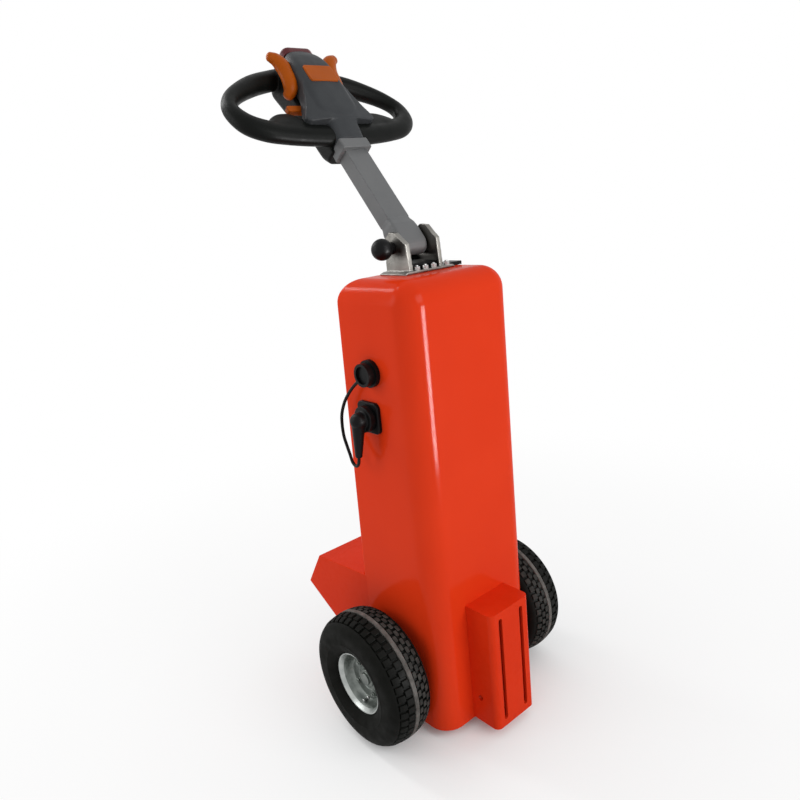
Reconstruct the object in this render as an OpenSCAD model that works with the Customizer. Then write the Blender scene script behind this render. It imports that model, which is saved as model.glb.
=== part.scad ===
// Two-wheel electric pusher tug with a tilting tiller, +X forward, +Y left

/* [Wheels] */
// Tyre outer diameter
wheel_d = 264; // [230:1:300]
// Tyre section width
tyre_w = 96; // [80:1:110]
// Clearance between cover and tyre
tyre_gap = 16.5; // [14:0.5:30]
// Number of tread bars on each shoulder
lug_count = 35; // [24:1:36]
// Depth of the tread
lug_h = 6.5; // [4:0.5:8]
// Rim flange diameter
rim_d = 124; // [110:1:140]
// Rim width over the flanges
rim_w = 72; // [60:1:80]
// Half shaft diameter
shaft_d = 25; // [20:0.5:30]
// Axle position ahead of the origin
axle_x = 68.3; // [60:0.1:80]

/* [Body cover] */
// Cover width
cover_w = 256; // [240:1:262]
// Front face ahead of the axle
cover_front = 130; // [120:1:140]
// Rear wall behind the axle at the top
cover_back_top = 64; // [58:1:72]
// Rear wall behind the axle at the foot
cover_back_foot = 93; // [86:1:100]
// Height of the top face
cover_top = 884; // [840:1:920]
// Ground clearance
cover_foot = 20; // [15:1:26]
// Radius of the upright front corners
corner_r = 32; // [24:1:38]
// Radius of the upright rear corners
heel_r = 10; // [6:1:14]
// Radius of the top edges
edge_r = 42; // [34:1:46]
// Wall of cover and tail
wall = 4; // [3:0.5:5]

/* [Tail] */
// Tail lip behind the axle
tail_back = 298; // [280:1:310]
// Tail lip height
tail_lip_z = 196; // [188:1:206]
// Tail top rear edge behind the axle
tail_top_back = 243; // [232:1:254]
// Tail top height at its rear edge
tail_top_z = 278; // [270:1:288]
// Rise of the tail top towards the cover
tail_rise = 14; // [6:1:20]
// Underside drop for each mm forward
tail_fall = 0.61; // [0.57:0.01:0.64]
// Base plate thickness
plate_t = 5; // [4:0.5:7]

/* [Battery] */
// Battery length
battery_len = 134; // [110:1:140]
// Battery height
battery_h = 114; // [90:1:116]
// Battery clearance to the outside of the tail
battery_gap = 20; // [14:1:30]

/* [Hitch box] */
// Box depth ahead of the cover
hitch_depth = 63.5; // [50:0.5:75]
// Box width
hitch_w = 107; // [95:1:120]
// Box underside height
hitch_z0 = 23; // [22:1:30]
// Box top height
hitch_z1 = 270; // [255:1:285]
// Sheet thickness of the box
hitch_t = 6; // [5:0.5:7]
// Slot spacing
slot_gap = 57; // [50:1:62]
// Slot width
slot_w = 9; // [7:0.5:12]
// Distance of the slot ends from top and bottom edge
slot_end = 14; // [12:1:20]
// Cross hole diameter
pin_hole_d = 12; // [8:0.5:14]
// Cross hole behind the box front
pin_hole_x = 41.5; // [36:0.5:44]
// Cross hole height
pin_hole_z = 77; // [60:1:90]

/* [Tiller] */
// Pivot ahead of the axle
pivot_x = 5; // [0:1:10]
// Pivot height above the cover top
pivot_h = 46; // [42:1:52]
// Lean of the tiller back from upright
lean = 39; // [30:1:45]
// Pivot pin diameter
pin_d = 16; // [12:0.5:18]
// Gap between the bracket cheeks
cheek_gap = 62; // [58:1:66]
// Cheek thickness
cheek_t = 8; // [6:0.5:9]
// Arm tube width
arm_w = 50; // [44:1:54]
// Arm tube depth
arm_d = 30; // [26:1:32]
// Arm tube wall
arm_wall = 3; // [2:0.5:4]
// Head start above the pivot
head_s0 = 236; // [220:1:250]
// Head length
head_len = 222; // [212:1:232]
// Knob diameter
knob_d = 38; // [32:1:42]

/* [Loop handle] */
// Half width of the loop
loop_a = 193; // [175:1:200]
// Half length of the loop
loop_b = 100; // [92:0.5:104]
// Tube diameter at the outer end
loop_d = 32; // [28:1:34]
// Loop middle above the pivot
loop_s = 359; // [352:1:366]
// Loop middle behind the arm line
loop_n = -12; // [-16:1:-10]
// Loop lean beyond the arm
loop_tilt = 9.5; // [7:0.05:11]

/* [Castor] */
// Castor wheel diameter
castor_d = 76; // [70:1:80]
// Castor tread width
castor_w = 26; // [22:1:28]
// Castor trail
castor_trail = 30; // [24:1:34]
// Gap between castor tyre and fork crown
castor_gap = 6; // [5:0.5:9]
// Gap between castor seat and tail underside
seat_gap = 2.82; // [2:0.01:4]

/* [Charging] */
// Gland ahead of the axle
gland_x = 19; // [12:1:26]
// Gland height
gland_z = 725; // [715:1:740]
// Gland diameter
gland_d = 50; // [44:1:54]
// Socket ahead of the axle
socket_x = 4; // [0:1:8]
// Socket height
socket_z = 642; // [636:1:650]
// Socket flange size
socket_w = 58; // [52:1:62]
// Plug handle length
plug_len = 72; // [60:1:80]
// Lean of the plug handle
plug_lean = 9; // [4:1:14]

/* [Hidden] */
$fn = 64;

axle_z = wheel_d / 2;
side_y = cover_w / 2;
track = cover_w + 2 * tyre_gap + tyre_w;
plate_w = cover_w - 2 * wall - 0.6;
battery_w = cover_w - 2 * battery_gap;
battery_back = tail_top_back - 31;
rib_x0 = 7 - battery_back;
rib_x1 = battery_len - battery_back - 7;
hitch_x1 = cover_front + hitch_depth;
pivot_z = cover_top + pivot_h;
running = 0.05;
saddle_y = side_y - 36;
battery_z = 154;
foot_right = 54;
foot_left = 66;
foot_front = 50;
foot_t = 7;
gauge_gap = 1;
gauge_len = 30;
gauge_t = 6;
motor_x = 10;
motor_seat = 64;
motor_r = 48;
motor_h = 165;
hub_in = 50;
tube_gap = 1.5;
shaft_in = 68;
tube_end = track / 2 - hub_in - tube_gap;
bend_r = 12;
castor_tread = 9;
web_r = castor_d / 2 - castor_tread - 4;
crown_drop = 22;
seat_half = 40;
seat_t = 5;
castor_h = castor_d + castor_gap + crown_drop;
castor_back = tail_back + seat_half - (tail_lip_z - castor_h - seat_t - seat_gap) / tail_fall;
shell_grey = [0.29, 0.30, 0.32];
paint_red = [0.87, 0.22, 0.12];
thumb_orange = [0.82, 0.36, 0.08];

// Height of the tail underside at a place behind the axle
function under_z(x) = tail_lip_z - tail_fall * (x + tail_back);
// Rear wall of the cover at a height
function back_x(z) = -cover_back_foot
    + (cover_back_foot - cover_back_top) * (z - cover_foot) / (cover_top - edge_r - cover_foot);
plate_lift = plate_t * sqrt(1 + tail_fall * tail_fall);
knee_out = -tail_back + (tail_lip_z - cover_foot) / tail_fall;
knee_in = -tail_back + (tail_lip_z + plate_lift - cover_foot - plate_t) / tail_fall;
tail_join_z = tail_top_z + tail_rise;

// Smooth line through knots of place and two radii
function knot(p, i) = i < 0 ? 2 * p[0] - p[1] : i >= len(p) ? 2 * p[len(p) - 1] - p[len(p) - 2] : p[i];
function smooth(p, m) = concat([for (i = [0:len(p) - 2], k = [0:m - 1])
    let (t = k / m, a = knot(p, i - 1), b = p[i], c = p[i + 1], d = knot(p, i + 2))
    0.5 * (2 * b + (c - a) * t + (2 * a - 5 * b + 4 * c - d) * t * t + (3 * b - a - 3 * c + d) * t * t * t)],
    [p[len(p) - 1]]);
function unit(v) = v / norm(v);
function place(q) = [q[0], q[1], q[2]];
function heading(l, i) = unit(place(l[min(i + 1, len(l) - 1)]) - place(l[max(i - 1, 0)]));
// Round or oval tube along such a line, its first radius towards ref
module tube(l, sides, ref) polyhedron(
    points = [for (i = [0:len(l) - 1], k = [0:sides - 1])
        let (d = heading(l, i), u = unit(ref - (ref * d) * d), v = cross(d, u), t = 360 * k / sides)
        place(l[i]) + l[i][3] * cos(t) * u + l[i][4] * sin(t) * v],
    faces = concat([[for (k = [sides - 1:-1:0]) k]],
        [for (i = [0:len(l) - 2], k = [0:sides - 1]) let (m = (k + 1) % sides, a = i * sides, b = a + sides)
            each [[a + k, a + m, b + m], [a + k, b + m, b + k]]],
        [[for (k = [0:sides - 1]) (len(l) - 1) * sides + k]]));

module at_axle() translate([axle_x, 0, 0]) children();
module slab(a, b) translate(a) cube(b - a);
module rod_y(r, y0, y1) translate([0, y0, 0]) rotate([-90, 0, 0]) cylinder(r = r, h = y1 - y0);
module side_sheet(w) rotate([90, 0, 0]) linear_extrude(w, center = true) children();
module turned() rotate([-90, 0, 0]) rotate_extrude() children();
module at_wheel(side) translate([0, side * track / 2, axle_z]) rotate([0, 0, side > 0 ? 0 : 180]) children();
module at_tiller() translate([pivot_x, 0, pivot_z]) rotate([0, -lean, 0]) children();

// Outer or inner body of the cover, drawn in by an inset
module cover_form(inset, low) {
    ce = corner_r - inset;
    he = heel_r - inset * 0.8;
    top_z = cover_top - edge_r;
    hull() for (s = [-1, 1]) {
        translate([cover_front - corner_r, s * (side_y - corner_r), low]) cylinder(r = ce, h = top_z - low, $fn = 40);
        translate([cover_front - edge_r, s * (side_y - edge_r), top_z]) sphere(r = edge_r - inset, $fn = 40);
        translate([back_x(low) + inset + he, s * (side_y - inset - he), low]) cylinder(r = he, h = 1, $fn = 24);
        translate([back_x(top_z) + inset + he, s * (side_y - inset - he), top_z - 1]) cylinder(r = he, h = 1, $fn = 24);
        translate([edge_r - cover_back_top, s * (side_y - edge_r), top_z]) sphere(r = edge_r - inset, $fn = 40);
    }
}

// Plan of the base plate, with the cover's front corners
module plate_plan() {
    r = corner_r - wall;
    h = plate_w / 2;
    f = cover_front - wall - 0.4;
    union() {
        translate([-tail_back, -h]) square([tail_back + f - r, 2 * h]);
        translate([-tail_back, r - h]) square([tail_back + f, 2 * (h - r)]);
        for (s = [-1, 1]) translate([f - r, s * (h - r)]) circle(r);
    }
}

module chassis_plate() color(paint_red) union() {
    intersection() {
        side_sheet(plate_w + 10) polygon([[cover_front, cover_foot], [knee_out, cover_foot],
            [8 - tail_back, under_z(8 - tail_back)], [8 - tail_back, under_z(8 - tail_back) + plate_lift],
            [knee_in, cover_foot + plate_t], [cover_front, cover_foot + plate_t]]);
        linear_extrude(tail_top_z) plate_plan();
    }
    slab([cover_front - wall - plate_t - 0.4, corner_r - side_y, cover_foot + plate_t],
        [cover_front - wall - 0.4, side_y - corner_r, hitch_z1 - 10]);
    for (s = [-1, 1]) translate([0, s * battery_w * 0.29, 0]) side_sheet(plate_t) polygon([
        [rib_x0, under_z(rib_x0) + plate_lift], [rib_x1, under_z(rib_x1) + plate_lift], [rib_x1, battery_z], [rib_x0, battery_z]]);
}

module body_cover() color(paint_red) difference() {
    cover_form(0, cover_foot);
    cover_form(wall, cover_foot - 20);
    translate([0, 0, axle_z]) rod_y(32, -side_y - 10, side_y + 10);
    slab([-32, -side_y - 10, 0], [32, side_y + 10, axle_z]);
    slab([-cover_back_foot - 20, -side_y + 16, 40], [-cover_back_top, side_y - 16, tail_join_z - 12]);
    slab([-cover_back_foot - 20, -plate_w / 2 - 0.1, 40],
        [-cover_back_top, plate_w / 2 + 0.1, under_z(-cover_back_foot) + plate_lift + 4]);
    side_sheet(cover_w + 20) polygon([[-tail_back, under_z(-tail_back)], [knee_out, cover_foot],
        [knee_out, -20], [-tail_back, -20]]);
    translate([gland_x, 0, gland_z]) rod_y(17, -side_y - 10, -side_y + 10);
    translate([socket_x, 0, socket_z]) rod_y(21, -side_y - 10, -side_y + 10);
}

module tail_box() color(paint_red) difference() {
    side_sheet(cover_w) polygon([[back_x(tail_join_z) - 0.1, tail_join_z], [-tail_top_back, tail_top_z],
        [-tail_back, tail_lip_z], [back_x(70) - 0.1, under_z(back_x(70))]]);
    side_sheet(cover_w - 2 * wall) polygon([[0, tail_join_z - wall + 6], [-tail_top_back + 2.6, tail_top_z - wall],
        [-tail_back + 5, tail_lip_z - 0.5], [-tail_back + 5, tail_lip_z - 40], [0, 0]]);
}

module battery_pack() color([0.12, 0.13, 0.15]) slab(
    [-battery_back, -battery_w / 2, battery_z], [battery_len - battery_back, battery_w / 2, battery_z + battery_h]);

module axle_housing() color([0.35, 0.36, 0.37]) translate([0, 0, axle_z]) difference() {
    union() {
        rod_y(60, -45, 45);
        rod_y(24, -tube_end, tube_end);
        translate([motor_x, 0, 0]) cylinder(r = motor_r, h = motor_seat);
    }
    rod_y(shaft_d / 2 + running, tube_end - shaft_in - 4, tube_end + 1);
    rod_y(shaft_d / 2 + running, -tube_end - 1, shaft_in + 4 - tube_end);
}

module drive_motor() color([0.16, 0.17, 0.18]) translate([motor_x, 0, axle_z + motor_seat]) cylinder(r = motor_r, h = motor_h);

module axle_saddles() color([0.30, 0.31, 0.32]) for (y = [-saddle_y, saddle_y]) translate([0, y, 0]) difference() {
    union() {
        slab([-34, -5, cover_foot + plate_t], [46, 5, axle_z]);
        translate([0, 0, axle_z]) rod_y(34, -5, 5);
    }
    translate([0, 0, axle_z]) rod_y(24.2, -6, 6);
    slab([-40, -6, 0], [-4, 6, cover_foot + plate_t + 24]);
}

// Folded sheet around three sides with a welded top
module hitch_plan(inset) {
    r = bend_r - inset;
    h = hitch_w / 2 - inset;
    union() {
        translate([cover_front - 1, -h]) square([hitch_depth + 1 - inset - r, 2 * h]);
        translate([cover_front - 1, r - h]) square([hitch_depth + 1 - inset, 2 * (h - r)]);
        for (s = [-1, 1]) translate([hitch_x1 - inset - r, s * (h - r)]) circle(r);
    }
}

module hitch_box() color(paint_red) difference() {
    translate([0, 0, hitch_z0]) linear_extrude(hitch_z1 - hitch_z0) hitch_plan(0);
    translate([0, 0, hitch_z0 - 10]) linear_extrude(hitch_z1 - hitch_z0 + 10 - hitch_t) hitch_plan(hitch_t);
    slab([cover_front - 10, -hitch_w, 0], [cover_front, hitch_w, hitch_z1 + 10]);
    for (y = [-slot_gap / 2, slot_gap / 2]) {
        slab([hitch_x1 - hitch_t - 4, y - slot_w / 2, hitch_z0 + slot_end + slot_w / 2],
            [hitch_x1 + 2, y + slot_w / 2, hitch_z1 - slot_end - slot_w / 2]);
        for (z = [hitch_z0 + slot_end + slot_w / 2, hitch_z1 - slot_end - slot_w / 2])
            translate([hitch_x1 - hitch_t - 4, y, z]) rotate([0, 90, 0]) cylinder(d = slot_w, h = hitch_t + 6);
    }
    translate([hitch_x1 - pin_hole_x, 0, pin_hole_z]) rod_y(pin_hole_d / 2, -hitch_w, hitch_w);
}

// Tread rows: share of the half width, drop of the bar tip as a share of the height, groove share
tread_rows = [[0.07, 0, 0], [0.58, 0.05, 1], [0.87, 0.18, 0.9], [1, 0.47, 0]];
bead_y = rim_w / 2 - 5.4;
bead_r = rim_d / 2 + 0.2;
// Rows all round the section: across, radius of the bar tip, groove share
tyre_rows = concat([[rim_w / 2 + 1, bead_r, 0]],
    [for (k = [3:-1:0]) [tread_rows[k][0] * tyre_w / 2, wheel_d / 2 - tread_rows[k][1] * (wheel_d - rim_d) / 2, tread_rows[k][2]]],
    [for (k = [0:3]) [-tread_rows[k][0] * tyre_w / 2, wheel_d / 2 - tread_rows[k][1] * (wheel_d - rim_d) / 2, tread_rows[k][2]]],
    [[-rim_w / 2 - 1, bead_r, 0], [-bead_y, bead_r, 0], [-bead_y, bead_r - 6.1, 0], [bead_y, bead_r - 6.1, 0], [bead_y, bead_r, 0]]);
tyre_steps = 3 * lug_count;
function tread_at(i, k) = let (q = tyre_rows[k], g = q[2] > 0 ? 1 : 0,
    a = 360 / tyre_steps * (i + 0.75 * g * sign(q[0])), r = q[1] - (i % 3 == 2 ? lug_h * q[2] : 0)) [r * cos(a), q[0], r * sin(a)];
module tyre(side) color([0.05, 0.05, 0.055]) at_wheel(side) polyhedron(
    points = [for (i = [0:tyre_steps - 1], k = [0:len(tyre_rows) - 1]) tread_at(i, k)],
    faces = [for (i = [0:tyre_steps - 1], k = [0:len(tyre_rows) - 1])
        let (n = len(tyre_rows), a = i * n, b = (i + 1) % tyre_steps * n, m = (k + 1) % n)
        each [[a + k, b + k, b + m], [a + k, b + m, a + m]]]);
module tyre_left() tyre(1);
module tyre_right() tyre(-1);

module rim(side) color([0.75, 0.76, 0.77]) at_wheel(side) turned() {
    f = rim_d / 2;
    w = rim_w / 2;
    polygon([[f, w], [f, w - 3], [f - 6, w - 5], [f - 6, 5 - w], [f, 3 - w], [f, -w],
        [f - 4, -w], [f - 9, 4 - w], [f - 9, -14], [f - 16, -4], [18, -4], [18, 4],
        [f - 16, 4], [f - 9, 14], [f - 9, w - 4], [f - 4, w]]);
}
module rim_left() rim(1);
module rim_right() rim(-1);

module hub(side) color([0.55, 0.56, 0.57]) at_wheel(side) union() {
    rod_y(38, -14, -4);
    rod_y(17.9, -6, 15);
    rod_y(12, 14, 20);
    rod_y(21, -hub_in, -13);
    rod_y(shaft_d / 2, -hub_in - shaft_in, 1 - hub_in);
}
module hub_left() hub(1);
module hub_right() hub(-1);

module castor_seat() color(paint_red) translate([-castor_back, 0, 0]) union() {
    slab([-seat_half, -42, castor_h], [seat_half, 42, castor_h + seat_t]);
    for (y = [-38, 38]) translate([0, y, 0]) side_sheet(6) polygon([[-seat_half, castor_h + seat_t], [seat_half, castor_h + seat_t],
        [seat_half, under_z(seat_half - castor_back)], [-seat_half, under_z(-seat_half - castor_back)]]);
}

module castor_plate() color([0.66, 0.67, 0.68]) translate([-castor_back, 0, 0]) difference() {
    union() {
        slab([-38, -40, castor_h - 5], [38, 40, castor_h]);
        translate([0, 0, castor_h - 16]) cylinder(r = 27, h = 12);
    }
    translate([0, 0, castor_h - 20]) cylinder(r = 8 + running, h = 18);
}

module castor_fork() color([0.66, 0.67, 0.68]) translate([-castor_back, 0, 0]) difference() {
    union() {
        translate([0, 0, castor_h - crown_drop]) cylinder(r = 25, h = 5);
        translate([0, 0, castor_h - 18]) cylinder(r = 8, h = 14);
        for (s = [-1, 1]) translate([0, s * (castor_w / 2 + 5), 0]) {
            side_sheet(4) polygon([[18, castor_h - 19], [-18, castor_h - 19], [-castor_trail - 10, castor_d / 2],
                [10 - castor_trail, castor_d / 2]]);
            translate([-castor_trail, 0, castor_d / 2]) rod_y(10, -2, 2);
        }
    }
    translate([-castor_trail, 0, castor_d / 2]) rod_y(5 + running, -40, 40);
}

module castor_axle() color([0.7, 0.71, 0.72]) translate([-castor_back - castor_trail, 0, castor_d / 2]) union() {
    y = castor_w / 2 + 7;
    rod_y(5, -y - 1, y + 1);
    rod_y(8, y + 0.5, y + 5);
    rod_y(8, -y - 5, -y - 0.5);
}

module castor_hub() color([0.2, 0.2, 0.22]) translate([-castor_back - castor_trail, 0, castor_d / 2]) turned() polygon([
    [5 + running, -castor_w / 2 - 1.5], [12, -castor_w / 2 - 1.5], [13, -4], [web_r - 2, -3], [web_r, -castor_w / 2 + 2],
    [castor_d / 2 - castor_tread, -castor_w / 2 + 2], [castor_d / 2 - castor_tread, castor_w / 2 - 2], [web_r, castor_w / 2 - 2],
    [web_r - 2, 3], [13, 4], [12, castor_w / 2 + 1.5], [5 + running, castor_w / 2 + 1.5]]);

module castor_tyre() color([0.1, 0.1, 0.11]) translate([-castor_back - castor_trail, 0, castor_d / 2]) turned() polygon([
    [castor_d / 2 - castor_tread, -castor_w / 2], [castor_d / 2 - 4, -castor_w / 2], [castor_d / 2 - 1, 4 - castor_w / 2],
    [castor_d / 2, 8 - castor_w / 2], [castor_d / 2, castor_w / 2 - 8], [castor_d / 2 - 1, castor_w / 2 - 4],
    [castor_d / 2 - 4, castor_w / 2], [castor_d / 2 - castor_tread, castor_w / 2]]);

module tiller_bracket() color([0.55, 0.56, 0.56]) difference() {
    union() {
        slab([-20, -foot_right, cover_top], [foot_front, foot_left, cover_top + foot_t]);
        for (s = [-1, 1]) translate([0, s * (cheek_gap + cheek_t) / 2, 0]) side_sheet(cheek_t) polygon([
            [-16, cover_top + foot_t], [foot_front - 10, cover_top + foot_t], [36, pivot_z + 10], [14, pivot_z + 32],
            [0, pivot_z + 34], [-16, pivot_z + 20]]);
    }
    translate([pivot_x, 0, pivot_z]) rod_y(pin_d / 2 + running, -80, 80);
}

module tiller_pin() color([0.7, 0.71, 0.72]) translate([pivot_x, 0, pivot_z]) union() {
    y = cheek_gap / 2 + cheek_t;
    rod_y(pin_d / 2, -y - 8, y + 2);
    rod_y(pin_d / 2 + 4, y + 1, y + 7);
}

module lock_knob() color([0.06, 0.06, 0.06]) translate([pivot_x, 0, pivot_z]) difference() {
    y = cheek_gap / 2 + cheek_t;
    union() {
        rod_y(11, -y - 12, -y - 1);
        translate([0, -y - 6 - knob_d / 2, 0]) sphere(d = knob_d);
    }
    rod_y(pin_d / 2 + running, -y - 8.2, 0);
}

module battery_gauge() color([0.07, 0.07, 0.07]) slab([2, foot_left + gauge_gap, cover_top], [20, foot_left + gauge_gap + gauge_len, cover_top + gauge_t]);

module arm_foot() color([0.45, 0.46, 0.47]) at_tiller() difference() {
    w = cheek_gap / 2 - 2;
    union() {
        rod_y(22, -w, w);
        slab([-19, -w, 0], [19, w, 40]);
        slab([-arm_d / 2, -arm_w / 2, 39], [arm_d / 2, arm_w / 2, 52]);
    }
    rod_y(pin_d / 2 + running, -80, 80);
}

module tiller_arm() color([0.45, 0.46, 0.46]) at_tiller() difference() {
    slab([-arm_d / 2, -arm_w / 2, 52], [arm_d / 2, arm_w / 2, head_s0]);
    slab([arm_wall - arm_d / 2, arm_wall - arm_w / 2, 40], [arm_d / 2 - arm_wall, arm_w / 2 - arm_wall, head_s0 + 5]);
}

module arm_collar() color([0.42, 0.43, 0.44]) at_tiller() difference() {
    slab([-arm_d / 2 - 0.8, -33, head_s0 - 22], [24, 33, head_s0]);
    slab([-arm_d / 2 - 5, -arm_w / 2 - 0.2, head_s0 - 30], [arm_d / 2 + 0.2, arm_w / 2 + 0.2, head_s0 + 5]);
}

// Place along the arm by the share of the head length
function up(x) = head_s0 + x * head_len;
// Half widths of the head by the share of its length: black base, grey cover, flare of the cover
base_rows = [[-0.036, 38], [0.29, 38], [0.43, 52], [0.88, 52], [0.96, 40], [1, 34]];
cover_rows = [[0, 33], [0.2, 34], [0.225, 38], [0.29, 50], [0.45, 47.5], [0.63, 44], [0.775, 44], [0.88, 40], [0.955, 35], [1, 31]];
flare_rows = [[0.18, 30], [0.18, 72], [0.21, 80], [0.245, 79], [0.43, 46], [0.46, 30]];
// Front of the cover and back of the base by the share of the length
front_rows = [[0, 24], [0.135, 30], [0.27, 35], [0.5, 39.5], [0.56, 41], [0.765, 41], [0.88, 37], [0.955, 31], [1, 24]];
back_rows = [[1, -46], [0.945, -58], [0.855, -60], [0.5, -48], [0.045, -44], [-0.036, -34]];
split_n = -2;
lever_seat = 48.3;
module head_plan(rows, n0, n1) translate([n0, 0, 0]) rotate([0, 90, 0]) linear_extrude(n1 - n0) polygon(concat(
    [for (r = rows) [-up(r[0]), r[1]]], [for (i = [len(rows) - 1:-1:0]) [-up(rows[i][0]), -rows[i][1]]]));

module head_base() color([0.07, 0.07, 0.075]) at_tiller() intersection() {
    head_plan(base_rows, -80, split_n);
    side_sheet(200) polygon(concat([[-arm_d / 2 - 1, up(-0.036)], [-arm_d / 2 - 1, head_s0], [split_n, head_s0], [split_n, up(1)]],
        [for (r = back_rows) [r[1], up(r[0])]]));
}

module head_cover() color(shell_grey) at_tiller() union() {
    intersection() {
        head_plan(cover_rows, split_n, 60);
        side_sheet(200) polygon(concat([[split_n, up(0)]], [for (r = front_rows) [r[1], up(r[0])]], [[split_n, up(1)]]));
    }
    head_plan(flare_rows, 20, 29);
    translate([31, 0, up(0.76)]) rod_y(5, -lever_seat, lever_seat);
}

// Half of the loop, by shares of the half width, half length and tube radius: out, up, in-plane radius, depth radius
loop_rows = [[0.155, 0.84, 1.25, 1.16], [0.28, 0.78, 1.25, 1.19], [0.57, 0.58, 1.22, 1.19], [0.835, 0.27, 1.06, 1.03],
    [0.97, -0.02, 0.95, 0.94], [1, -0.3, 1, 1], [0.94, -0.61, 1.25, 1.09], [0.74, -0.83, 1.69, 1.06], [0.61, -0.76, 2.38, 1.03],
    [0.455, -0.76, 2.56, 1], [0.34, -0.9, 1.88, 1.03], [0.26, -0.97, 1.56, 1.06], [0.155, -1, 1.5, 1.06]];
module loop_half(s) translate([loop_n, 0, loop_s]) rotate([0, -loop_tilt, 0]) tube(smooth([for (q = loop_rows)
    [0, s * q[0] * loop_a, q[1] * loop_b, q[3] * loop_d / 2, q[2] * loop_d / 2]], 3), 14, [1, 0, 0]);
module side_pad(s) slab([-5, s > 0 ? 52 : -86, up(0.39)], [5, s > 0 ? 86 : -52, up(0.455)]);
module loop_handle() color([0.06, 0.06, 0.065]) at_tiller() difference() {
    for (s = [-1, 1]) loop_half(s);
    head_plan(concat([[-0.3, 38]], base_rows, [[1.2, 30]]), -90, 60);
    for (s = [-1, 1]) side_pad(s);
}

// Thumb lever: front, out, share of the head length, two radii
lever_rows = [[27, 80, 0.92, 7, 7], [29.5, 66, 0.87, 9.5, 9.5], [31, 59.5, 0.76, 11.5, 11.5], [29, 61, 0.667, 12, 11.5],
    [21, 66, 0.59, 11, 10], [9, 72, 0.563, 8, 8]];
module thumb_levers() color(thumb_orange) at_tiller() for (s = [-1, 1])
    tube(smooth([for (q = lever_rows) [q[0], s * q[1], up(q[2]), q[3], q[4]]], 3), 10, [1, 0, 0]);

module rocker_panel() color(thumb_orange) at_tiller() slab([41, -30, up(0.577)], [44, 30, up(0.748)]);

module side_pads() color(thumb_orange) at_tiller() for (s = [-1, 1]) side_pad(s);

module belly_button() color([0.37, 0.13, 0.15]) at_tiller() slab([-40, -31, up(1)], [22, 31, up(1) + 9]);

gland_nub = 24;
nub_lean = 56;
module cord_gland() color([0.06, 0.06, 0.06]) translate([gland_x, 0, gland_z]) difference() {
    union() {
        rod_y(gland_d / 2, -side_y - 8, -side_y);
        rod_y(gland_d / 2 - 4, -side_y - 22, -side_y - 7);
        rod_y(16.8, -side_y - 1, -side_y + 14);
        translate([0, -side_y - 13, 0]) rotate([0, nub_lean + 180, 0]) cylinder(r = 5.5, h = gland_nub);
    }
    rod_y(gland_d / 2 - 9, -side_y - 23, -side_y - 17);
}

module charge_socket() color([0.06, 0.06, 0.06]) translate([socket_x, 0, socket_z]) union() {
    slab([-socket_w / 2, -side_y - 7, -socket_w / 2], [socket_w / 2, -side_y, socket_w / 2]);
    rod_y(20.8, -side_y - 1, -side_y + 16);
}

plug_out = 29;
module charge_plug() color([0.09, 0.09, 0.09]) translate([socket_x, 0, socket_z]) union() {
    rod_y(24, -side_y - 20, -side_y - 7);
    rod_y(15, -side_y - plug_out, -side_y - 19);
    translate([0, -side_y - plug_out, 0]) {
        sphere(r = 15);
        rotate([0, plug_lean + 180, 0]) cylinder(r1 = 13, r2 = 6.5, h = plug_len);
    }
}

// Route of the charge cord from the plug to the gland
cord_r = 3;
plug_tip = [socket_x - plug_len * sin(plug_lean), -side_y - plug_out, socket_z - plug_len * cos(plug_lean)];
gland_tip = [gland_x - gland_nub * sin(nub_lean), -side_y - 13, gland_z - gland_nub * cos(nub_lean)];
cord_way = [plug_tip, plug_tip + [-1.5, 0, -9], plug_tip + [-6, 0.5, -17], plug_tip + [-15, 1.5, -21], plug_tip + [-25, 2.5, -16],
    plug_tip + [-32, 4, -4], plug_tip + [-41, 5.5, 12], plug_tip + [-50, 7.5, 29], plug_tip + [-54, 9.5, 49],
    gland_tip + [-59, -5, -70], gland_tip + [-48, -3.5, -46], gland_tip + [-31, -2, -25], gland_tip + [-14, -0.6, -9.5], gland_tip];
module charge_cord() color([0.05, 0.05, 0.05]) tube(smooth([for (q = cord_way) concat(q, [cord_r, cord_r])], 4), 10, [0, 1, 0]);

at_axle() chassis_plate();
at_axle() body_cover();
at_axle() tail_box();
at_axle() battery_pack();
at_axle() axle_housing();
at_axle() drive_motor();
at_axle() axle_saddles();
at_axle() hitch_box();
at_axle() tyre_left();
at_axle() tyre_right();
at_axle() rim_left();
at_axle() rim_right();
at_axle() hub_left();
at_axle() hub_right();
at_axle() castor_seat();
at_axle() castor_plate();
at_axle() castor_fork();
at_axle() castor_axle();
at_axle() castor_hub();
at_axle() castor_tyre();
at_axle() tiller_bracket();
at_axle() tiller_pin();
at_axle() lock_knob();
at_axle() battery_gauge();
at_axle() arm_foot();
at_axle() tiller_arm();
at_axle() arm_collar();
at_axle() head_base();
at_axle() head_cover();
at_axle() loop_handle();
at_axle() thumb_levers();
at_axle() rocker_panel();
at_axle() side_pads();
at_axle() belly_button();
at_axle() cord_gland();
at_axle() charge_socket();
at_axle() charge_plug();
at_axle() charge_cord();
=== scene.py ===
import bpy
import bmesh
from math import sin, cos, pi, radians, sqrt
from mathutils import Vector, Matrix


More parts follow.
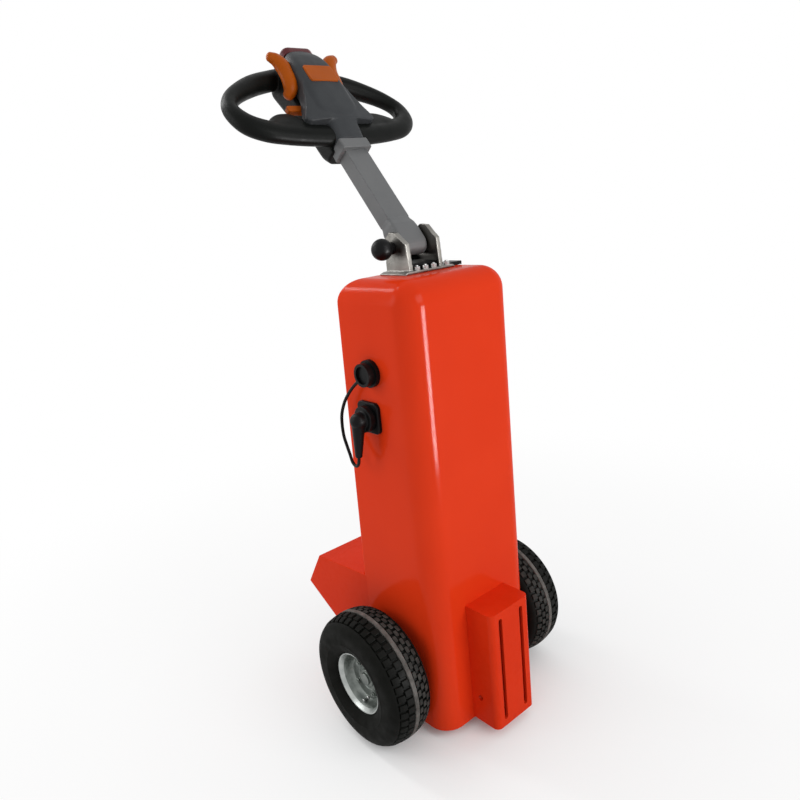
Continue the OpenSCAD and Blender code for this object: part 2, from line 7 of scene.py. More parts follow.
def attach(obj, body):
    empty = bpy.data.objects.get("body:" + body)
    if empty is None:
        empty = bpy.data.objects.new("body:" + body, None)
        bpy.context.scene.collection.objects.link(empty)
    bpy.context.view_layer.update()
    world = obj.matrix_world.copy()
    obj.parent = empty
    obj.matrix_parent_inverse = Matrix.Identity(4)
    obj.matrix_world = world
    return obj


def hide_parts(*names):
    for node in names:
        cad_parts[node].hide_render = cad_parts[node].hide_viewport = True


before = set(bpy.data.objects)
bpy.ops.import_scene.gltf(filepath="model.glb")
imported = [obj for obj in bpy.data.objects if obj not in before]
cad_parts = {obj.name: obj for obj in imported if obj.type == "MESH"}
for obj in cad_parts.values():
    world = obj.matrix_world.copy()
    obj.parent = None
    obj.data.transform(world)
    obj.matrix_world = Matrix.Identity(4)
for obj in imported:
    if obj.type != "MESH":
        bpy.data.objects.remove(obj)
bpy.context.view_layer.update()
scene = bpy.context.scene
mm = 0.001
axleX = 68.3  # the axle is this far ahead of the frame's origin; pieces are in mm, x from the axle

# camera, fitted to the picture
shot = {"azimuth": 50.71, "elevation": 16.01, "roll": 5.82,
        "place": (1.0510, -0.85765, 1.0176), "focal": 709.9, "frame": 800}


def makeCamera(s):
    az, el, ro = (radians(s[k]) for k in ("azimuth", "elevation", "roll"))
    back = Vector((sin(az) * cos(el), -cos(az) * cos(el), sin(el)))
    right = (-back).cross(Vector((0, 0, 1))).normalized()
    up = right.cross(-back)
    r2 = right * cos(ro) - up * sin(ro)
    u2 = right * sin(ro) + up * cos(ro)
    data = bpy.data.cameras.new("shotCamera")
    data.sensor_width = 36
    data.lens = 36 * s["focal"] / s["frame"]
    data.clip_start = 0.05
    cam = bpy.data.objects.new("shotCamera", data)
    scene.collection.objects.link(cam)
    m = Matrix((r2, u2, back)).transposed().to_4x4()
    m.translation = s["place"]
    cam.matrix_world = m
    scene.camera = cam


makeCamera(shot)
print("camera set")


# shared shader groups
def groupSockets(tree, ins, outs):
    for name, kind, value in ins:
        s = tree.interface.new_socket(name, in_out="INPUT", socket_type=kind)
        if value is not None:
            s.default_value = value
    for name, kind in outs:
        tree.interface.new_socket(name, in_out="OUTPUT", socket_type=kind)


def setInputs(n, inputs):
    for k, v in inputs.items():
        n.inputs[k].default_value = v


def node(tree, kind, inputs=None, **values):
    n = tree.nodes.new(kind)
    for k, v in values.items():
        setattr(n, k, v)
    setInputs(n, inputs or {})
    return n


def link(tree, a, b):
    tree.links.new(a, b)


def makeMottle():
    t = bpy.data.node_groups.new("mottle", "ShaderNodeTree")
    groupSockets(t, [("Scale", "NodeSocketFloat", 40.0), ("Low", "NodeSocketFloat", 0.3),
                     ("High", "NodeSocketFloat", 0.5), ("Detail", "NodeSocketFloat", 4.0)],
                 [("Value", "NodeSocketFloat")])
    gi, go = node(t, "NodeGroupInput"), node(t, "NodeGroupOutput")
    co = node(t, "ShaderNodeTexCoord")
    nz = node(t, "ShaderNodeTexNoise")
    mr = node(t, "ShaderNodeMapRange", {"From Min": 0.3, "From Max": 0.7})
    link(t, co.outputs["Object"], nz.inputs["Vector"])
    link(t, gi.outputs["Scale"], nz.inputs["Scale"])
    link(t, gi.outputs["Detail"], nz.inputs["Detail"])
    link(t, nz.outputs["Fac"], mr.inputs["Value"])
    link(t, gi.outputs["Low"], mr.inputs["To Min"])
    link(t, gi.outputs["High"], mr.inputs["To Max"])
    link(t, mr.outputs["Result"], go.inputs["Value"])
    return t


def makeScuff():
    t = bpy.data.node_groups.new("scuff", "ShaderNodeTree")
    groupSockets(t, [("Scale", "NodeSocketFloat", 30.0), ("Amount", "NodeSocketFloat", 0.3),
                     ("Stretch", "NodeSocketVector", (1.0, 1.0, 0.15))],
                 [("Mask", "NodeSocketFloat")])
    gi, go = node(t, "NodeGroupInput"), node(t, "NodeGroupOutput")
    co = node(t, "ShaderNodeTexCoord")
    st = node(t, "ShaderNodeVectorMath", operation="MULTIPLY")
    nz = node(t, "ShaderNodeTexNoise", {"Detail": 6, "Roughness": 0.7})
    mr = node(t, "ShaderNodeMapRange", {"From Min": 0.52, "From Max": 0.74})
    link(t, co.outputs["Object"], st.inputs[0])
    link(t, gi.outputs["Stretch"], st.inputs[1])
    link(t, st.outputs["Vector"], nz.inputs["Vector"])
    link(t, gi.outputs["Scale"], nz.inputs["Scale"])
    link(t, nz.outputs["Fac"], mr.inputs["Value"])
    mu = node(t, "ShaderNodeMath", operation="MULTIPLY")
    link(t, mr.outputs["Result"], mu.inputs[0])
    link(t, gi.outputs["Amount"], mu.inputs[1])
    link(t, mu.outputs["Value"], go.inputs["Mask"])
    return t


mottle = makeMottle()
scuff = makeScuff()
finish = {"roughScale": 55, "bumpHigh": 1.0}


def mottled(t, **inputs):
    return node(t, "ShaderNodeGroup", inputs, node_tree=mottle).outputs["Value"]


def makeMaterial(name, colour, second, rough, metal=0.0, grain=(300, 0.05), tint=(12, 3),
                 coat=0.0, wear=None, specular=0.5, coatRough=0.08):
    # two mottled colours, a range of roughness, grain as scale and bump, tint as scale and detail
    m = bpy.data.materials.new(name)
    m.use_nodes = True
    t = m.node_tree
    p = t.nodes["Principled BSDF"]
    setInputs(p, {"Metallic": metal, "Coat Weight": coat, "Coat Roughness": coatRough,
                  "Specular IOR Level": specular})
    mix = node(t, "ShaderNodeMix", {"A": (*colour, 1), "B": (*second, 1)}, data_type="RGBA")
    link(t, mottled(t, Scale=tint[0], Detail=tint[1], Low=0, High=1), mix.inputs["Factor"])
    out = mix.outputs["Result"]
    if wear:
        sc = node(t, "ShaderNodeGroup", {"Scale": wear["scale"], "Amount": wear["amount"],
                                         "Stretch": wear.get("stretch", (1, 1, 1))}, node_tree=scuff)
        mw = node(t, "ShaderNodeMix", {"B": (*wear["colour"], 1)}, data_type="RGBA")
        link(t, sc.outputs["Mask"], mw.inputs["Factor"])
        link(t, out, mw.inputs["A"])
        out = mw.outputs["Result"]
    link(t, out, p.inputs["Base Color"])
    link(t, mottled(t, Scale=finish["roughScale"], Low=rough[0], High=rough[1]), p.inputs["Roughness"])
    bump = node(t, "ShaderNodeBump", {"Strength": grain[1], "Distance": finish["bumpHigh"] * mm})
    link(t, mottled(t, Scale=grain[0], Low=0, High=1), bump.inputs["Height"])
    link(t, bump.outputs["Normal"], p.inputs["Normal"])
    return m


redPaint = makeMaterial("redPaint", (0.82, 0.045, 0.0085), (0.86, 0.051, 0.0105), (0.15, 0.21),
                        grain=(140, 0.012), tint=(5, 2), coat=0.13, specular=0.003, coatRough=0.125)
# a darker copy of the red paint for the tail, hitch box and chassis parts: its darker colour is painted
# shade, its rougher coat is their finish
tailPaint = makeMaterial("tailPaint", (0.76, 0.037, 0.007), (0.81, 0.043, 0.009), (0.24, 0.32),
                         grain=(40, 0.002), tint=(7, 2), coat=0.09, specular=0.005, coatRough=0.2)
tyreRubber = makeMaterial("tyreRubber", (0.0045, 0.0047, 0.0038), (0.0080, 0.0082, 0.0070), (0.55, 0.75),
                          grain=(420, 0.06), tint=(26, 5), specular=0.06,
                          wear={"scale": 45, "amount": 0.22, "colour": (0.020, 0.020, 0.018)})
treadWorn = makeMaterial("treadWorn", (0.0145, 0.0145, 0.0132), (0.060, 0.059, 0.054), (0.6, 0.8),
                         grain=(420, 0.06), tint=(55, 5), specular=0.06)
seamRubber = makeMaterial("seamRubber", (0.070, 0.066, 0.060), (0.165, 0.156, 0.145), (0.7, 0.85),
                          grain=(380, 0.12), tint=(75, 6), specular=0.1)
# zinc with its colour darkened for the dark surroundings it mirrors: painted dark reflection; its scuffed
# patches are wear
zincPlate = makeMaterial("zincPlate", (0.13, 0.145, 0.135), (0.26, 0.28, 0.262), (0.3, 0.46), metal=1.0,
                         grain=(160, 0.06), tint=(48, 2),
                         wear={"scale": 60, "amount": 0.4, "colour": (0.06, 0.068, 0.062)})
# a brighter copy of the zinc for the rim flanges: painted bright reflection
flangeZinc = makeMaterial("flangeZinc", (0.34, 0.36, 0.35), (0.50, 0.52, 0.50), (0.26, 0.4), metal=1.0,
                          grain=(160, 0.05), tint=(40, 3))
boltZinc = makeMaterial("boltZinc", (0.40, 0.40, 0.40), (0.54, 0.54, 0.53), (0.2, 0.32), metal=1.0,
                        grain=(300, 0.05), tint=(80, 3))
bracketSteel = makeMaterial("bracketSteel", (0.16, 0.153, 0.141), (0.285, 0.275, 0.256), (0.26, 0.42),
                            metal=1.0, grain=(260, 0.08), tint=(30, 5),
                            wear={"scale": 40, "amount": 0.5, "colour": (0.075, 0.066, 0.055),
                                  "stretch": (1, 1, 0.5)})
greyPaint = makeMaterial("greyPaint", (0.150, 0.154, 0.157), (0.172, 0.175, 0.177), (0.36, 0.48),
                         grain=(260, 0.05), tint=(14, 3), specular=0.22)
shellGrey = makeMaterial("shellGrey", (0.043, 0.046, 0.050), (0.052, 0.056, 0.060), (0.46, 0.58),
                         grain=(520, 0.03), tint=(22, 3), specular=0.13)
gripBlack = makeMaterial("gripBlack", (0.0042, 0.0050, 0.0045), (0.0068, 0.0075, 0.0068), (0.36, 0.5),
                         grain=(620, 0.03), tint=(24, 4), specular=0.08)
plugBlack = makeMaterial("plugBlack", (0.0042, 0.0043, 0.0046), (0.0070, 0.0071, 0.0074), (0.32, 0.46),
                         grain=(480, 0.03), tint=(30, 4), specular=0.11)
cordBlack = makeMaterial("cordBlack", (0.006, 0.0052, 0.0052), (0.010, 0.009, 0.009), (0.38, 0.5),
                         grain=(600, 0.05), tint=(40, 3), specular=0.12)
thumbOrange = makeMaterial("thumbOrange", (0.42, 0.082, 0.002), (0.46, 0.092, 0.003), (0.34, 0.46),
                           grain=(420, 0.05), tint=(26, 3), specular=0.12)
maroonCap = makeMaterial("maroonCap", (0.085, 0.011, 0.014), (0.11, 0.014, 0.018), (0.3, 0.42),
                         grain=(360, 0.05), tint=(26, 3), specular=0.2)
castIron = makeMaterial("castIron", (0.10, 0.104, 0.108), (0.15, 0.153, 0.156), (0.5, 0.66), metal=0.4,
                        grain=(240, 0.3), tint=(40, 5), specular=0.3)
batteryCase = makeMaterial("batteryCase", (0.012, 0.012, 0.014), (0.02, 0.02, 0.022), (0.4, 0.55),
                           grain=(300, 0.1), tint=(20, 3), specular=0.2)
castorTread = makeMaterial("castorTread", (0.012, 0.012, 0.013), (0.022, 0.022, 0.022), (0.5, 0.65),
                           grain=(300, 0.08), tint=(30, 4), specular=0.15,
                           wear={"scale": 70, "amount": 0.3, "colour": (0.06, 0.056, 0.05)})
print("materials made")


# mesh helpers
def fromBmesh(name, bm, material, smooth=True):
    me = bpy.data.meshes.new(name)
    bm.to_mesh(me)
    bm.free()
    for p in me.polygons:
        p.use_smooth = smooth
    me.materials.append(material)
    ob = bpy.data.objects.new(name, me)
    scene.collection.objects.link(ob)
    return ob


def bake(ob):
    bpy.context.view_layer.update()
    dg = bpy.context.evaluated_depsgraph_get()
    me = bpy.data.meshes.new_from_object(ob.evaluated_get(dg))
    old = ob.data
    ob.modifiers.clear()
    ob.data = me
    me.name = ob.name
    bpy.data.meshes.remove(old)
    return ob


def evenNormals(ob):
    w = ob.modifiers.new("even", "WEIGHTED_NORMAL")
    w.keep_sharp = True
    w.weight = 60
    return ob


def softEdges(ob, width, segments=2, angle=32):
    b = ob.modifiers.new("soft", "BEVEL")
    b.width = width * mm
    b.segments = segments
    b.limit_method = "ANGLE"
    b.angle_limit = radians(angle)
    evenNormals(ob)
    return ob


def copyOf(nodeName, flat=True):
    # a merged copy of a CAD node's mesh, with its flat faces whole
    bm = bmesh.new()
    bm.from_mesh(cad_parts[nodeName].data)
    bmesh.ops.remove_doubles(bm, verts=bm.verts, dist=1e-5)
    if flat:
        bmesh.ops.dissolve_limit(bm, angle_limit=radians(0.3), verts=bm.verts, edges=bm.edges)
    return bm


def softCopy(nodeName, name, material, width, segments=2):
    # a copy of a CAD node with its edges eased
    return softEdges(fromBmesh(name, copyOf(nodeName), material), width, segments)


def gather(bms):
    bm = bmesh.new()
    for b in bms:
        me = bpy.data.meshes.new("gathered")
        b.to_mesh(me)
        b.free()
        bm.from_mesh(me)
        bpy.data.meshes.remove(me)
    return bm


def drop(ob):
    me = ob.data
    bpy.data.objects.remove(ob)
    bpy.data.meshes.remove(me)


def takeMesh(ob):
    # the mesh of an object that is then deleted
    bm = bmesh.new()
    bm.from_mesh(ob.data)
    drop(ob)
    return bm


def crisp(ob, angle=38):
    ob.data.set_sharp_from_angle(angle=radians(angle))
    return evenNormals(ob)


def mould(name, bms, material, voxel, rounds):
    # shapes fused into one moulding with soft edges
    ob = fromBmesh(name, gather(bms), material)
    fuse = ob.modifiers.new("fuse", "REMESH")
    fuse.mode = "VOXEL"
    fuse.voxel_size = voxel * mm
    fuse.use_smooth_shade = True
    ease = ob.modifiers.new("ease", "SMOOTH")
    ease.factor = 0.5
    ease.iterations = rounds
    return bake(ob)


def roundRect(halfA, halfB, r, steps):
    # points round a rectangle with rounded corners, from the +a +b corner
    pts = []
    for sa, sb, start in ((1, 1, 0), (-1, 1, 90), (-1, -1, 180), (1, -1, 270)):
        for i in range(steps + 1):
            t = radians(start + 90 * i / steps)
            pts.append((sa * (halfA - r) + r * cos(t), sb * (halfB - r) + r * sin(t)))
    return pts


def loft(rings, capStart=True, capEnd=True):
    bm = bmesh.new()
    rows = [[bm.verts.new(p) for p in ring] for ring in rings]
    n = len(rows[0])
    for a, b in zip(rows, rows[1:]):
        for i in range(n):
            j = (i + 1) % n
            bm.faces.new((a[i], a[j], b[j], b[i]))
    if capStart:
        bm.faces.new(rows[0][::-1])
    if capEnd:
        bm.faces.new(rows[-1])
    bmesh.ops.remove_doubles(bm, verts=bm.verts, dist=1e-6)
    bmesh.ops.recalc_face_normals(bm, faces=bm.faces)
    return bm


def revolve(profile, steps, place, closed=True):
    # profile of (radius, along) in mm, turned about the Y axis of place
    bm = bmesh.new()
    rings = []
    for i in range(steps):
        t = 2 * pi * i / steps
        rings.append([bm.verts.new(place @ Vector((r * cos(t) * mm, y * mm, r * sin(t) * mm)))
                      for r, y in profile])
    n = len(profile)
    for i in range(steps):
        a, b = rings[i], rings[(i + 1) % steps]
        for k in range(n if closed else n - 1):
            m = (k + 1) % n
            if profile[k][0] < 1e-6 and profile[m][0] < 1e-6:
                continue
            bm.faces.new((a[k], a[m], b[m], b[k]))
    bmesh.ops.remove_doubles(bm, verts=bm.verts, dist=1e-6)
    bmesh.ops.dissolve_degenerate(bm, edges=bm.edges, dist=1e-7)
    bmesh.ops.recalc_face_normals(bm, faces=bm.faces)
    return bm


def smoothLine(points, per):
    # a smooth line through the points
    ps = [Vector(p) for p in points]
    ps = [2 * ps[0] - ps[1]] + ps + [2 * ps[-1] - ps[-2]]
    line = []
    for i in range(1, len(ps) - 2):
        a, b, c, d = ps[i - 1:i + 3]
        for k in range(per):
            t = k / per
            line.append(0.5 * (2 * b + (c - a) * t + (2 * a - 5 * b + 4 * c - d) * t * t
                               + (3 * b - a - 3 * c + d) * t ** 3))
    return line + [ps[-2]]


def tube(rows, per, sides, ref, cap=0.7):
    # rows of x, y, z and two radii, the first towards ref, with rounded ends
    line = [Vector(q) for q in smoothLine(rows, per)]
    pts = [Vector((q[0], q[1], q[2])) for q in line]
    rings = []

    def ring(p, d, ra, rb):
        u = (ref - d * ref.dot(d)).normalized()
        v = d.cross(u)
        return [p + ra * cos(2 * pi * k / sides) * u + rb * sin(2 * pi * k / sides) * v for k in range(sides)]
    for i, q in enumerate(line):
        d = (pts[min(i + 1, len(pts) - 1)] - pts[max(i - 1, 0)]).normalized()
        body = ring(pts[i], d, q[3], q[4])
        bulge = cap * min(q[3], q[4])
        ends = [ring(pts[i] + (d if i else -d) * bulge * sin(a), d, q[3] * cos(a), q[4] * cos(a))
                for a in (radians(t) for t in (20, 40, 58, 74, 86))]
        if i == 0:
            rings += ends[::-1] + [body]
        elif i == len(line) - 1:
            rings += [body] + ends
        else:
            rings.append(body)
    return loft(rings)


def slabOf(place, halfA, halfB, r, low, high, ease, both=False, steps=5, cornerSteps=6, leastR=0.4):
    # a rounded slab: place turns a, b and height into a point
    turns = [radians(90 * i / steps) for i in range(steps + 1)]
    levels = [(low, 0)]
    if both:
        levels = [(low + ease - ease * sin(t), ease - ease * cos(t)) for t in turns[::-1]]
    levels += [(high - ease + ease * sin(t), ease - ease * cos(t)) for t in turns]
    rings = []
    for h, i in levels:
        corners = roundRect(halfA - i, halfB - i, max(r - i, leastR), cornerSteps)
        rings.append([place(a, b, h) for a, b in corners])
    return loft(rings)


# trees that set copies of one shape on points, and make them one mesh
def makeCopyTree(name, sockets, layPoints):
    t = bpy.data.node_groups.new(name, "GeometryNodeTree")
    shared = [("Geometry", "NodeSocketGeometry", None), ("Item", "NodeSocketObject", None),
              ("Finish", "NodeSocketMaterial", None)]
    groupSockets(t, shared + sockets, [("Geometry", "NodeSocketGeometry")])
    gi, go = node(t, "NodeGroupInput"), node(t, "NodeGroupOutput")
    info = node(t, "GeometryNodeObjectInfo")
    inst = node(t, "GeometryNodeInstanceOnPoints")
    real = node(t, "GeometryNodeRealizeInstances")
    fin = node(t, "GeometryNodeSetMaterial")
    layPoints(t, gi, inst)
    link(t, gi.outputs["Item"], info.inputs["Object"])
    link(t, info.outputs["Geometry"], inst.inputs["Instance"])
    link(t, inst.outputs["Instances"], real.inputs["Geometry"])
    link(t, real.outputs["Geometry"], fin.inputs["Geometry"])
    link(t, gi.outputs["Finish"], fin.inputs["Material"])
    link(t, fin.outputs["Geometry"], go.inputs["Geometry"])
    return t


def turnedPoints(t, gi, inst):
    # points on the axis, each turned by its share of a circle
    pts = node(t, "GeometryNodePoints")
    idx = node(t, "GeometryNodeInputIndex")
    step = node(t, "ShaderNodeMath", {0: 2 * pi}, operation="DIVIDE")
    turn = node(t, "ShaderNodeMath", operation="MULTIPLY_ADD")
    rot = node(t, "ShaderNodeCombineXYZ")
    link(t, gi.outputs["Count"], pts.inputs["Count"])
    link(t, gi.outputs["Count"], step.inputs[1])
    link(t, idx.outputs["Index"], turn.inputs[0])
    link(t, step.outputs["Value"], turn.inputs[1])
    link(t, gi.outputs["Phase"], turn.inputs[2])
    link(t, turn.outputs["Value"], rot.inputs["Y"])
    link(t, rot.outputs["Vector"], inst.inputs["Rotation"])
    link(t, pts.outputs[0], inst.inputs["Points"])


def ownPoints(t, gi, inst):
    link(t, gi.outputs["Geometry"], inst.inputs["Points"])


ringTree = makeCopyTree("ringOfCopies", [("Count", "NodeSocketInt", 4), ("Phase", "NodeSocketFloat", 0.0)],
                        turnedPoints)
pointTree = makeCopyTree("copiesOnPoints", [], ownPoints)


def copiesOf(name, tree, itemBm, points, material, **values):
    item = fromBmesh(name + "Item", itemBm, material)
    me = bpy.data.meshes.new(name)
    me.from_pydata([tuple(Vector(p) * mm) for p in points], [], [])
    ob = bpy.data.objects.new(name, me)
    scene.collection.objects.link(ob)
    mod = ob.modifiers.new("copies", "NODES")
    mod.node_group = tree
    ids = {s.name: s.identifier for s in tree.interface.items_tree if s.in_out == "INPUT"}
    for k, v in {"Item": item, "Finish": material, **values}.items():
        mod[ids[k]] = v
    bake(ob)
    drop(item)
    return ob


def ringOf(name, itemBm, count, phase, material, place):
    # copies of a shape turned about the Y axis of place
    ob = copiesOf(name, ringTree, itemBm, [], material, Count=count, Phase=phase)
    ob.data.transform(place)
    return ob


def hexBolt(place, across, height, washer, stem, plate=1.6):
    # a hex head and stem on a washer of that radius, its axis along the Y axis of place
    def disc(r, y0, y1, sides, ease):
        turns = [2 * pi * k / sides + pi / sides for k in range(sides)]
        return loft([[place @ Vector((rr * cos(t) * mm, y * mm, rr * sin(t) * mm)) for t in turns]
                     for rr, y in ((r - ease, y0), (r, y0), (r, y1 - ease), (r - ease, y1))])
    top = plate + height
    return gather([disc(washer, 0, plate, 20, 0.3), disc(across / 2 / cos(pi / 6), plate, top, 6, 0.6),
                   disc(across * 0.3, top, top + stem, 12, 0.5)])


def ready(ob, body, slotName, *nodes):
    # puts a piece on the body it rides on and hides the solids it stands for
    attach(ob, body)
    if nodes:
        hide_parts(*nodes)


# charge cord, plug and sockets on the right side
sideY = -128
charge = {"gland": (19, 725), "glandOut": 13, "nub": 24, "nubLean": 56, "socket": (4, 642), "socketW": 58,
          "plugOut": 29, "plugLen": 72, "plugLean": 9, "cordR": 3,
          "fromPlug": ((-1.5, 0, -9), (-6, 0.5, -17), (-15, 1.5, -21), (-25, 2.5, -16), (-32, 4, -4),
                       (-41, 5.5, 12), (-50, 7.5, 29), (-54, 9.5, 49)),
          "fromGland": ((-59, -5, -70), (-48, -3.5, -46), (-31, -2, -25), (-14, -0.6, -9.5))}


def chargePoints(c):
    t, g = radians(c["plugLean"]), radians(c["nubLean"])
    tip = Vector((c["socket"][0] - c["plugLen"] * sin(t) + axleX, sideY - c["plugOut"],
                  c["socket"][1] - c["plugLen"] * cos(t)))
    end = Vector((c["gland"][0] - c["nub"] * sin(g) + axleX, sideY - c["glandOut"],
                  c["gland"][1] - c["nub"] * cos(g)))
    steps = [tip] + [tip + Vector(o) for o in c["fromPlug"]]
    steps += [end + Vector(o) for o in c["fromGland"]] + [end]
    return [p * mm for p in steps]


def makeCord(c):
    line = smoothLine(chargePoints(c), 3)
    data = bpy.data.curves.new("chargeCord", "CURVE")
    data.dimensions = "3D"
    sp = data.splines.new("POLY")
    sp.points.add(len(line) - 1)
    for q, p in zip(sp.points, line):
        q.co = (*p, 1)
    data.bevel_depth = c["cordR"] * mm
    data.bevel_resolution = 5
    data.use_fill_caps = True
    data.materials.append(cordBlack)
    ob = bpy.data.objects.new("chargeCord", data)
    scene.collection.objects.link(ob)
    ready(ob, "frame", "castor_rubber", "charge_cord")


makeCord(charge)


# stage
studio = {"floor": 8.0, "floorTones": (0.88, 0.9), "near": 0.84, "fade": (0.5, 1.7), "shade": 0.5,
          "ambient": 0.40,
          "lamps": {"keyLamp": ((2.6, 0.6, 1.9), (0.05, 0, 0.55), (1.5, 1.5), 35),
                    "fillLamp": ((-1.5, -2.3, 1.7), (0, 0, 0.6), (1.4, 1.8), 20),
                    "topLamp": ((-1.5, -0.5, 2.25), (0.05, -0.05, 0.85), (0.3, 1.4), 16),
                    "streakLamp": ((1.40, 0.44, 0.36), (0.2, -0.1, 0.36), (0.44, 0.62), 46)},
          "gleamOnly": ("streakLamp",)}


def seenRays(t):
    # camera, glossy and transmission rays see the pale background
    rays = node(t, "ShaderNodeLightPath")
    mirrored = node(t, "ShaderNodeMath", operation="ADD", use_clamp=True)
    link(t, rays.outputs["Is Glossy Ray"], mirrored.inputs[0])
    link(t, rays.outputs["Is Transmission Ray"], mirrored.inputs[1])
    seen = node(t, "ShaderNodeMath", operation="ADD", use_clamp=True)
    link(t, rays.outputs["Is Camera Ray"], seen.inputs[0])
    link(t, mirrored.outputs["Value"], seen.inputs[1])
    return seen.outputs["Value"]


def makeFloor(s):
    bm = bmesh.new()
    h = s["floor"] / 2
    bm.faces.new([bm.verts.new((x, y, 0)) for x, y in ((-h, -h), (h, -h), (h, h), (-h, h))])
    m = bpy.data.materials.new("floorPale")
    m.use_nodes = True
    t = m.node_tree
    out = t.nodes["Material Output"]
    t.nodes.remove(t.nodes["Principled BSDF"])
    dif = node(t, "ShaderNodeBsdfDiffuse")
    tones = {end: (grey, grey, grey, 1) for end, grey in zip("AB", s["floorTones"])}
    mix = node(t, "ShaderNodeMix", tones, data_type="RGBA")
    link(t, mottled(t, Scale=2), mix.inputs["Factor"])
    link(t, mix.outputs["Result"], dif.inputs["Color"])
    em = node(t, "ShaderNodeEmission")
    co = node(t, "ShaderNodeTexCoord")
    away = node(t, "ShaderNodeVectorMath", operation="LENGTH")
    link(t, co.outputs["Object"], away.inputs[0])
    fadeFrom, fadeTo = s["fade"]
    fade = node(t, "ShaderNodeMapRange", {"From Min": fadeFrom, "From Max": fadeTo, "To Min": s["near"]},
                interpolation_type="SMOOTHSTEP")
    link(t, away.outputs["Value"], fade.inputs["Value"])
    dim = node(t, "ShaderNodeAmbientOcclusion", {"Distance": s["shade"]}, samples=8)
    clear = node(t, "ShaderNodeMath", operation="MULTIPLY")
    link(t, seenRays(t), clear.inputs[0])
    link(t, dim.outputs["AO"], clear.inputs[1])
    part = node(t, "ShaderNodeMath", operation="MULTIPLY")
    link(t, clear.outputs["Value"], part.inputs[0])
    link(t, fade.outputs["Result"], part.inputs[1])
    both = node(t, "ShaderNodeMixShader")
    link(t, part.outputs["Value"], both.inputs["Fac"])
    link(t, dif.outputs["BSDF"], both.inputs[1])
    link(t, em.outputs["Emission"], both.inputs[2])
    link(t, both.outputs["Shader"], out.inputs["Surface"])
    fromBmesh("studioFloor", bm, m, False)


def makeWorld(s):
    w = bpy.data.worlds.new("studioWorld")
    scene.world = w
    w.use_nodes = True
    t = w.node_tree
    bg = t.nodes["Background"]
    bg.inputs["Color"].default_value = (1, 1, 1, 1)
    mr = node(t, "ShaderNodeMapRange", {"To Min": s["ambient"]})
    link(t, seenRays(t), mr.inputs["Value"])
    link(t, mr.outputs["Result"], bg.inputs["Strength"])


def makeLamps(s):
    for name, (place, target, size, power) in s["lamps"].items():
        d = bpy.data.lights.new(name, "AREA")
        d.shape = "RECTANGLE"
        d.size, d.size_y = size
        d.energy = power
        ob = bpy.data.objects.new(name, d)
        scene.collection.objects.link(ob)
        ob.location = place
        ob.rotation_euler = (Vector(target) - Vector(place)).to_track_quat("-Z", "Y").to_euler()
        ob.visible_camera = False
        ob.visible_diffuse = name not in s["gleamOnly"]


makeFloor(studio)
makeWorld(studio)
makeLamps(studio)
scene.view_settings.view_transform = "Standard"
print("stage set")

# body cover: stacked outlines with a rolled top edge
cover = {"front": 130, "backTop": -64, "backFoot": -93, "half": 128, "foot": 20, "top": 884,
         "cornerR": 42, "heelR": 10, "edgeR": 42, "wall": 4, "cornerSteps": 12, "rollSteps": 14, "bands": 6,
         "archHalf": 32, "archMid": 132, "archFoot": -5, "cutOut": 160,
         "tailCut": [(-120, 87.4), (-9.5, 20), (-9.5, 0), (-120, 0)]}


def coverRing(c, z):
    roll = c["top"] - c["edgeR"]
    d = c["edgeR"] - sqrt(max(0, c["edgeR"] ** 2 - max(0, z - roll) ** 2))
    f = (min(z, roll) - c["foot"]) / (roll - c["foot"])
    back = c["backFoot"] + (c["backTop"] - c["backFoot"]) * f + d
    front, half = c["front"] - d, c["half"] - d
    keep = 1 - d / c["edgeR"]
    ring = []
    corners = ((front, half, 0, c["cornerR"]), (back, half, 90, c["heelR"]),
               (back, -half, 180, c["heelR"]), (front, -half, 270, c["cornerR"]))
    for x, y, start, r in corners:
        r *= keep
        cx, cy = (x - r if x == front else x + r), (y - r if y > 0 else y + r)
        for i in range(c["cornerSteps"] + 1):
            t = radians(start + 90 * i / c["cornerSteps"])
            ring.append(Vector(((cx + r * cos(t) + axleX) * mm, (cy + r * sin(t)) * mm, z * mm)))
    return ring


def prism(points, y0, y1):
    return loft([[((x + axleX) * mm, y * mm, z * mm) for x, z in points] for y in (y0, y1)])


def makeCover(c):
    roll = c["top"] - c["edgeR"]
    levels = [c["foot"] + (roll - c["foot"]) * i / c["bands"] for i in range(c["bands"] + 1)]
    for i in range(1, c["rollSteps"] + 1):
        levels.append(roll + c["edgeR"] * sin(radians(90 * i / c["rollSteps"])))
    bm = loft([coverRing(c, z) for z in levels], capStart=False)
    ob = fromBmesh("bodyCover", bm, redPaint)
    sh = ob.modifiers.new("wall", "SOLIDIFY")
    sh.thickness = c["wall"] * mm
    sh.offset = -1
    half = c["archHalf"]
    arch = [(-half, c["archFoot"]), (half, c["archFoot"])]
    arch += [(half * cos(radians(a)), c["archMid"] + half * sin(radians(a))) for a in range(0, 181, 10)]
    cutters = []
    for outline in (arch, c["tailCut"]):
        cutter = fromBmesh("coverCut", prism(outline, -c["cutOut"], c["cutOut"]), redPaint, False)
        mod = ob.modifiers.new("cut", "BOOLEAN")
        mod.operation = "DIFFERENCE"
        mod.solver = "EXACT"
        mod.object = cutter
        cutters.append(cutter)
    bake(ob)
    for cutter in cutters:
        drop(cutter)
    crisp(ob, 40)
    ready(ob, "frame", "red_cover", "body_cover")


makeCover(cover)
print("cover made")

